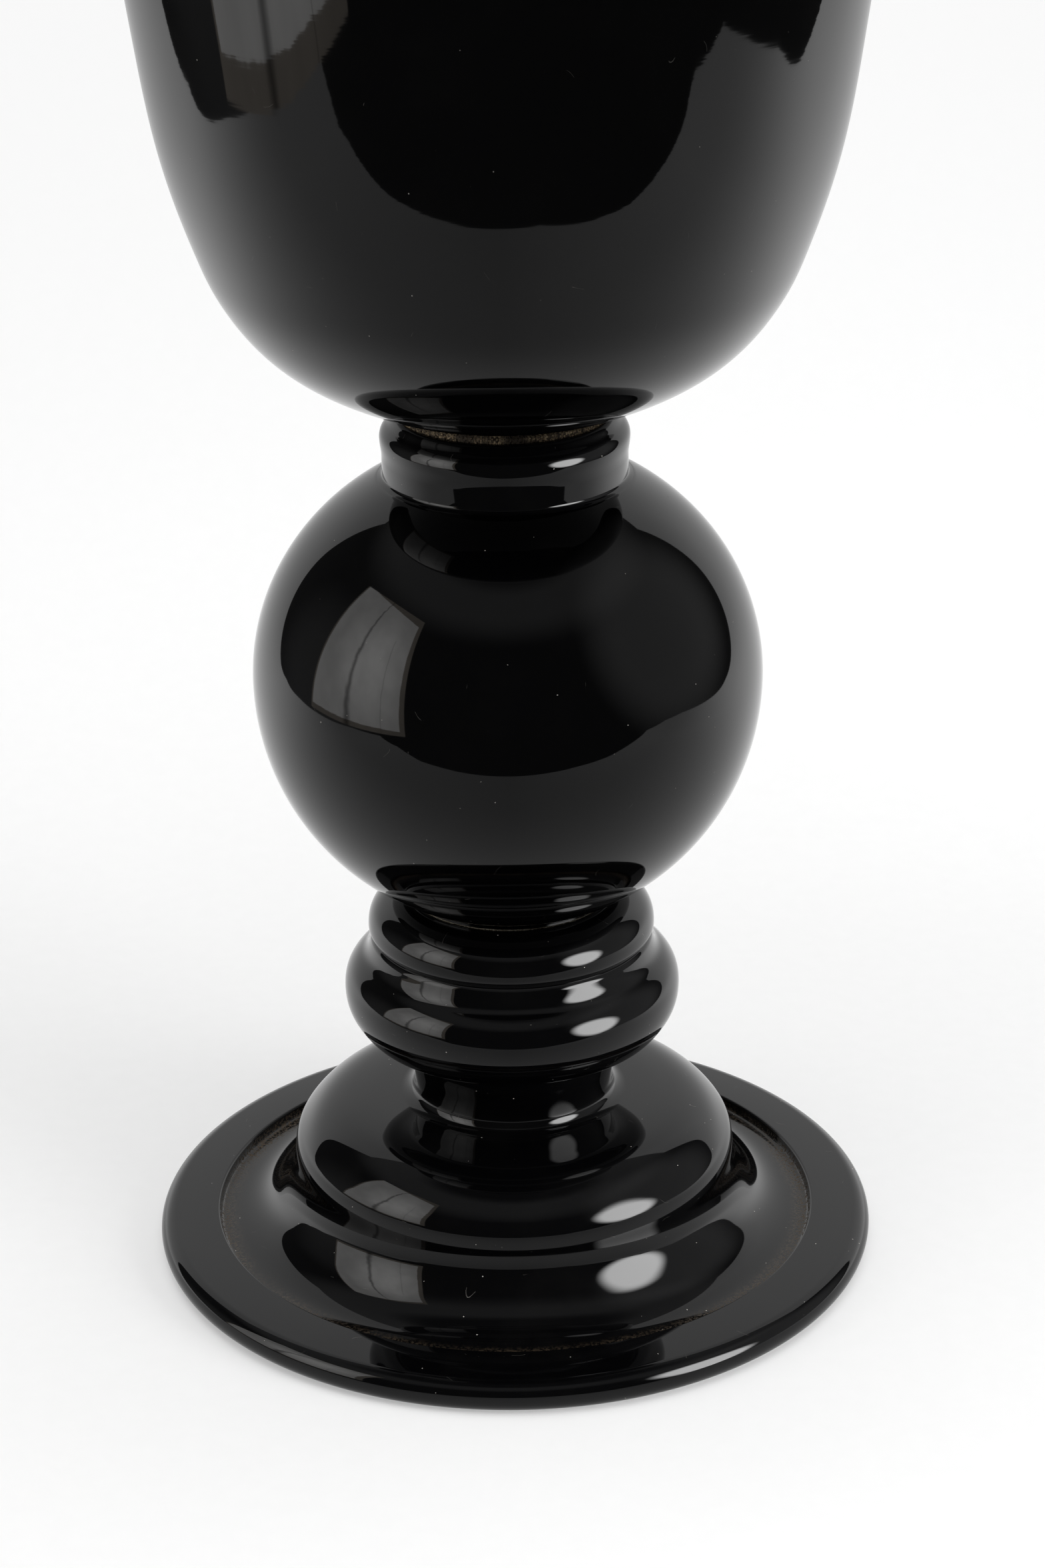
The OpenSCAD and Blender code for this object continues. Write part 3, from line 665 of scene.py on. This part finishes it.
def stage_mesh(name, us, vs, place):
    """A mesh of the studio, not of the vase: points place(u, v) on a grid of two parameters,
    which stay on it as a map."""
    u, v = np.meshgrid(us, vs, indexing="ij")
    points = np.stack(place(u, v), -1).reshape(-1, 3)
    i, j = np.meshgrid(np.arange(len(us) - 1), np.arange(len(vs) - 1), indexing="ij")
    first = i * len(vs) + j
    second = first + len(vs)
    faces = np.stack([first, second, second + 1, first + 1], -1).reshape(-1, 4)
    thing = make_mesh(name, points, faces)
    corners = np.empty(len(thing.data.loops), np.int32)
    thing.data.loops.foreach_get("vertex_index", corners)
    own = np.stack([u, v], -1).reshape(-1, 2)[corners].astype(np.float32)
    thing.data.uv_layers.new(name="own_map").data.foreach_set("uv", own.ravel())
    return thing


# %% The paper's shape
SWEEP_LINE = run((-640, 0, 0), (250, 0, 0), (870, 800, 90), (870, 1500, 90)) * MM
FLAT_TO = 0.25
FRONT_AT = (-0.87, -0.66, -0.48, 0.14, 0.28, 0.44, 0.85, 1.0)
FRONT_Y = (-0.605, -0.62, -0.64, -0.64, -0.55, -0.50, -0.50, -0.39)
FRONT_LIFT = (0, 0.007, -0.04, -0.04, 0, 0.015, 0.03, 0)
EDGE_AT = (-0.605, -0.39, -0.22, 0.05, 0.20, 0.40, 0.55)
LEFT_REACH = (0.87, 1.02, 1.03, 1.05, 0.99, 1.03, 1.05)
LEFT_CURL = (0.03, 0.02, 0.02, 0.03, 0.055, 0.05, 0)
RIGHT_REACH = (1.0, 1.0, 1.045, 1.21, 1.20, 1.19, 1.21)
RIGHT_CURL = (0.05, 0.05, 0.055, 0.01, 0.01, 0.02, 0)
CURL_FROM, DROOP = 0.7, 0.2
PAPER_BELOW = 0.0002
PAPER_COLUMNS, PAPER_ROWS = 101, 141


def sweep_place(u, v):
    """The paper: v runs along its line from the front edge to the top, and u across it. Its
    reach to each side and the curl of its edges depend on how far back they are, and its
    front edge has a place and a lift of its own, which fade out backwards."""
    at = v * (len(SWEEP_LINE) - 1)
    y, z = (np.interp(at, np.arange(len(SWEEP_LINE)), line) for line in SWEEP_LINE.T)
    back = np.clip((y - SWEEP_LINE[0, 0]) / (FLAT_TO - SWEEP_LINE[0, 0]), 0, 1)

    def from_front(front):
        """How far back a point is, when the front edge lies at front."""
        return np.where(y < FLAT_TO, front + back * (FLAT_TO - front), y)

    def at_edges(left, right):
        """A value that depends on how far back the left or the right edge is."""
        return np.where(u < 0, np.interp(from_front(FRONT_Y[0]), EDGE_AT, left),
                        np.interp(from_front(FRONT_Y[-1]), EDGE_AT, right))

    x = u * at_edges(LEFT_REACH, RIGHT_REACH)
    curl = at_edges(LEFT_CURL, RIGHT_CURL)
    lift = curl * np.clip((np.abs(u) - CURL_FROM) / (1 - CURL_FROM), 0, 1) ** 2
    lift = lift + np.interp(x, FRONT_AT, FRONT_LIFT) * np.clip(1 - back / DROOP, 0, 1) ** 2
    return x, from_front(np.interp(x, FRONT_AT, FRONT_Y)), z + lift - PAPER_BELOW


paper = stage_mesh("paper_sweep", np.linspace(-1, 1, PAPER_COLUMNS), np.linspace(0, 1, PAPER_ROWS),
                   sweep_place)

# %% The paper's finish
WHITE = (1, 1, 1, 1)
PAPER_ALBEDO, PAPER_GRAIN = 0.50, 0.985
FIBRES, FIBRE_SPAN = (120, 6.0), (0.3, 0.7)
PAPER_GLOW, FRONT_GLOW, FRONT_GLOW_FROM, FRONT_GLOW_TO = 0.36, 0.03, -0.10, -0.30
PAPER_FAR, FADE_FROM, FADE_TO = 0.94, 0.36, 1.1
GLOW_FRONT = 0.30
GLOW_BACK, BACK_FROM, BACK_TO = 0.66, -0.35, 0.40
GLOW_LEFT, GLOW_RIGHT, SIDE_AT = 0.12, 0.25, 0.75
BACK_DIMMER, DIMMER_FROM, DIMMER_TO = 0.38, 0.42, 0.82
WALL_DIMMER, WALL_FROM, WALL_TO = 0.12, 0.4, 1.2

paper_finish = new_material("white_paper")
tree = paper_finish.node_tree
place = node(tree, "TexCoord").outputs["Object"]
x, y, z = node(tree, "SeparateXYZ", {0: place}).outputs
ray = node(tree, "LightPath").outputs
facing = node(tree, "NewGeometry").outputs
distance = node(tree, "VectorMath", {0: place}, operation="LENGTH").outputs["Value"]
grain = clouds(tree, place, FIBRES, FIBRE_SPAN, PAPER_ALBEDO * PAPER_GRAIN, PAPER_ALBEDO)
matt = node(tree, "BsdfDiffuse", {"Color": grain})
near_glow = ramp(tree, y, FRONT_GLOW_FROM, FRONT_GLOW_TO, PAPER_GLOW, PAPER_GLOW + FRONT_GLOW)
near = node(tree, "Emission", {"Color": WHITE, "Strength": near_glow})
seen = node(tree, "AddShader", {0: matt.outputs[0], 1: near.outputs[0]})
white = node(tree, "Emission", {"Color": WHITE, "Strength": PAPER_FAR})
fade = ramp(tree, distance, FADE_FROM, FADE_TO)
seen = node(tree, "MixShader", {0: fade, 1: seen.outputs[0], 2: white.outputs[0]})
clear = node(tree, "BsdfTransparent")
seen = node(tree, "MixShader", {0: facing["Backfacing"], 1: seen.outputs[0], 2: clear.outputs[0]})
glow = total(tree, GLOW_FRONT, ramp(tree, y, BACK_FROM, BACK_TO, 0.0, GLOW_BACK),
             slope(tree, x, 0.0, -SIDE_AT, 0.0, GLOW_LEFT),
             slope(tree, x, 0.0, SIDE_AT, 0.0, GLOW_RIGHT),
             ramp(tree, y, DIMMER_FROM, DIMMER_TO, 0.0, -BACK_DIMMER),
             ramp(tree, z, WALL_FROM, WALL_TO, 0.0, -WALL_DIMMER))
mirrored = node(tree, "Emission", {"Color": WHITE, "Strength": glow})
bounced = maths(tree, "MAXIMUM", ray["Is Glossy Ray"], ray["Is Transmission Ray"])
surface = node(tree, "MixShader", {0: ray["Is Camera Ray"], 1: matt.outputs[0], 2: seen.outputs[0]})
surface = node(tree, "MixShader", {0: bounced, 1: surface.outputs[0], 2: mirrored.outputs[0]})
node(tree, "OutputMaterial", {"Surface": surface.outputs[0]})
dress(paper, paper_finish)
print("paper sweep", len(paper.data.polygons), "faces")

# %% [markdown]
# ## The lamps
#
# Two lamps show in the glass. On the left a large frame covered with white paper stands
# close by, grey and uneven, with a cord and a thin crease down it. On the right a soft lamp
# makes the small bright patches on the foot's rings and the collar. A third, broad and
# soft one overhead isn't mirrored at all, and only gives the plain level of light.

# %% Glowing finishes


def glowing(name, strength, clear=False):
    """A glowing finish, whose strength is made from its tree, with a colour or without. A clear
    one adds its glow to what stands behind it."""
    material = new_material(name)
    tree = material.node_tree
    colour, level = strength(tree)
    light = node(tree, "Emission", {"Color": colour, "Strength": level})
    if clear:
        behind = node(tree, "BsdfTransparent")
        light = node(tree, "AddShader", {0: light.outputs[0], 1: behind.outputs[0]})
    node(tree, "OutputMaterial", {"Surface": light.outputs[0]})
    return material


def unseen(thing):
    """The camera sees none of it, only the glass and the light do, and it throws no shadow."""
    thing.visible_camera = False
    thing.visible_shadow = False


# %% The paper-covered frame on the left
PANEL_STEPS = 9
FRAME_LOW = ((-1.027, 0.037, 0.056), (-0.672, -0.713, 0.081))
FRAME_HIGH = ((-1.145, 0.041, 1.158), (-0.790, -0.708, 1.185))
PAPER_DIM, PAPER_BRIGHT = 1.3, 2.4
BRIGHT_AT, BRIGHT_REACH = (0.62, 0.42), 0.55
SHEET_COLOUR = (1, 0.99, 0.975, 1)
SHEET_CLOUDS, SHEET_SPAN, SHEET_DARK, SHEET_PALE = (5, 3.0), (0.3, 0.7), 0.93, 1.07
WANDER_SCALE, WANDER_DETAIL, WANDER = 11, 4.0, 0.012
BORDER_COLOUR = (0.62, 0.56, 0.49, 1)
BORDER_LEVEL = 0.55
BORDER_LEFT, BORDER_RIGHT, BORDER_LOW, BORDER_HIGH = 0.02, 0.05, 0.03, 0.13
BORDER_SLANT, BORDER_START = -0.12, 1.02
CORD_AT, CORD_DARK, CORD_SWAY, CORD_SWAY_POWER = 0.44, 0.62, 0.05, 4.0
CORD_LOW_W, CORD_HIGH_W = 0.05, 0.008
CREASE_AT, CREASE_TOP, CREASE_W, CREASE_DARK = 0.77, 0.66, 0.006, 0.35


def frame_place(u, v):
    """The frame: straight lines between its four corners, u from left to right and v up."""
    low = [a + u * (b - a) for a, b in zip(*FRAME_LOW)]
    high = [a + u * (b - a) for a, b in zip(*FRAME_HIGH)]
    return tuple(a + v * (b - a) for a, b in zip(low, high))


def frame_level(tree):
    """The paper's glow, brightest right of its middle, and dimmer on the frame's border, along
    a cord that hangs in front of it, and along a thin crease."""
    own = node(tree, "UVMap", uv_map="own_map").outputs[0]
    across, up, _ = node(tree, "SeparateXYZ", {0: own}).outputs
    away = node(tree, "VectorMath", {0: own, 1: (*BRIGHT_AT, 0)}, operation="DISTANCE").outputs["Value"]
    level = ramp(tree, away, BRIGHT_REACH, 0.0, PAPER_DIM, PAPER_BRIGHT)
    uneven = clouds(tree, own, SHEET_CLOUDS, SHEET_SPAN, SHEET_DARK, SHEET_PALE)
    level = maths(tree, "MULTIPLY", level, uneven)
    wander = noise(tree, own, WANDER_SCALE, WANDER_DETAIL)
    wander = slope(tree, wander, 0.0, 1.0, -WANDER, WANDER)
    sway = maths(tree, "MULTIPLY", maths(tree, "POWER", up, CORD_SWAY_POWER), CORD_SWAY)
    cord = total(tree, sway, maths(tree, "MULTIPLY", wander, 2.0), CORD_AT)
    cord = maths(tree, "ABSOLUTE", maths(tree, "SUBTRACT", across, cord))
    cord = ramp(tree, cord, slope(tree, up, 0.0, 1.0, CORD_LOW_W, CORD_HIGH_W), 0.0, 0.0, CORD_DARK)
    crease = maths(tree, "SUBTRACT", across, maths(tree, "ADD", wander, CREASE_AT))
    crease = ramp(tree, maths(tree, "ABSOLUTE", crease), CREASE_W, 0.0, 0.0, CREASE_DARK)
    crease = maths(tree, "MULTIPLY", crease, maths(tree, "LESS_THAN", up, CREASE_TOP))
    darker = maths(tree, "MAXIMUM", cord, crease)
    level = maths(tree, "MULTIPLY", level, maths(tree, "SUBTRACT", 1.0, darker))
    ragged = maths(tree, "MULTIPLY", wander, 0.5)
    from_top = maths(tree, "ADD", maths(tree, "MULTIPLY", across, BORDER_SLANT), BORDER_START)
    from_top = maths(tree, "MAXIMUM", from_top, 1 - BORDER_HIGH)
    inside = maths(tree, "GREATER_THAN", maths(tree, "ADD", across, ragged), BORDER_LEFT)
    for value, high in ((across, 1 - BORDER_RIGHT), (up, from_top), (BORDER_LOW, up)):
        within = maths(tree, "LESS_THAN", maths(tree, "ADD", value, ragged), high)
        inside = maths(tree, "MULTIPLY", inside, within)
    level = maths(tree, "MULTIPLY", level, slope(tree, inside, 0.0, 1.0, BORDER_LEVEL, 1.0))
    return blend_colour(tree, inside, BORDER_COLOUR, SHEET_COLOUR), level


frame_steps = np.linspace(0, 1, PANEL_STEPS)
frame_light = stage_mesh("papered_frame", frame_steps, frame_steps, frame_place)
dress(frame_light, glowing("lit_paper", frame_level))
unseen(frame_light)
print("papered frame, brightest", PAPER_BRIGHT)

# %% The soft lamp on the right
SOFT_AWAY = 1.5
SOFT_AZIMUTH, SOFT_RISE = 57, 19
SOFT_HALF_W, SOFT_HALF_H = 0.50, 0.62
SOFT_GLOW, SOFT_FULL_TO = 9.5, 0.62

azimuth, rise = math.radians(SOFT_AZIMUTH), math.radians(SOFT_RISE)
soft_out = np.array([math.sin(azimuth) * math.cos(rise), -math.cos(azimuth) * math.cos(rise),
                     math.sin(rise)])
soft_across = np.array([math.cos(azimuth), math.sin(azimuth), 0])
soft_up = np.cross(soft_across, -soft_out)


def soft_place(u, v):
    """The soft lamp: a flat panel that faces the vase, u across and v up, from -1 to 1."""
    return tuple(SOFT_AWAY * out + SOFT_HALF_W * u * across + SOFT_HALF_H * v * up
                 for out, across, up in zip(soft_out, soft_across, soft_up))


def soft_level(tree):
    """The lamp's glow: full in its middle, fading to nothing at its oval edge."""
    own = node(tree, "UVMap", uv_map="own_map").outputs[0]
    away = node(tree, "VectorMath", {0: own}, operation="LENGTH").outputs["Value"]
    return WHITE, ramp(tree, away, 1.0, SOFT_FULL_TO, 0.0, SOFT_GLOW)


lamp_steps = np.linspace(-1, 1, PANEL_STEPS)
soft_lamp = stage_mesh("soft_lamp", lamp_steps, lamp_steps, soft_place)
dress(soft_lamp, glowing("soft_lamp_glow", soft_level, clear=True))
unseen(soft_lamp)

lit_by_soft = bpy.data.collections.new("lit_by_soft_lamp")
for thing in (foot, collar, paper):
    lit_by_soft.objects.link(thing)
soft_lamp.light_linking.receiver_collection = lit_by_soft
print("soft lamp at", np.round(SOFT_AWAY * soft_out, 3))

# %% The broad light overhead, and the dim room
TOP_SIZE = 2.6
TOP_PLACE = (0, -0.2, 2.3)
TOP_POWER = 60

top_data = bpy.data.lights.new("broad_top_light", "AREA")
top_data.size = TOP_SIZE
top_data.energy = TOP_POWER
top_light = bpy.data.objects.new("broad_top_light", top_data)
top_light.location = TOP_PLACE
top_light.visible_glossy = False
scene.collection.objects.link(top_light)

ROOM_DARK, ROOM_WALL, ROOM_CEILING, ROOM_LEFT = 0.035, 0.24, 0.14, 0.09
WALL_TOWARDS, WALL_EDGE = (0.92, -0.12, 0.36), (0.72, 0.93)
CEILING_LOW, CEILING_HIGH = (0.6, 0.8), (0.96, 0.88)
LEFT_EDGE = (-0.8, -1.0)

world = bpy.data.worlds.new("studio")
world.use_nodes = True
tree = world.node_tree
tree.nodes.clear()
ray = node(tree, "LightPath").outputs
towards = node(tree, "TexCoord").outputs["Generated"]
to_wall = node(tree, "VectorMath", {0: towards, 1: WALL_TOWARDS}, operation="DOT_PRODUCT")
x, _, z = node(tree, "SeparateXYZ", {0: towards}).outputs
ceiling = maths(tree, "MULTIPLY", ramp(tree, z, *CEILING_LOW, 0.0, ROOM_CEILING),
                ramp(tree, z, *CEILING_HIGH))
level = total(tree, ROOM_DARK, ramp(tree, to_wall.outputs["Value"], *WALL_EDGE, 0.0, ROOM_WALL),
              ceiling, ramp(tree, x, *LEFT_EDGE, 0.0, ROOM_LEFT))
room = node(tree, "Background", {"Color": WHITE, "Strength": level})
white = node(tree, "Background", {"Color": WHITE, "Strength": 1.0})
mix = node(tree, "MixShader", {0: ray["Is Camera Ray"], 1: room.outputs[0], 2: white.outputs[0]})
node(tree, "OutputWorld", {"Surface": mix.outputs[0]})
scene.world = world
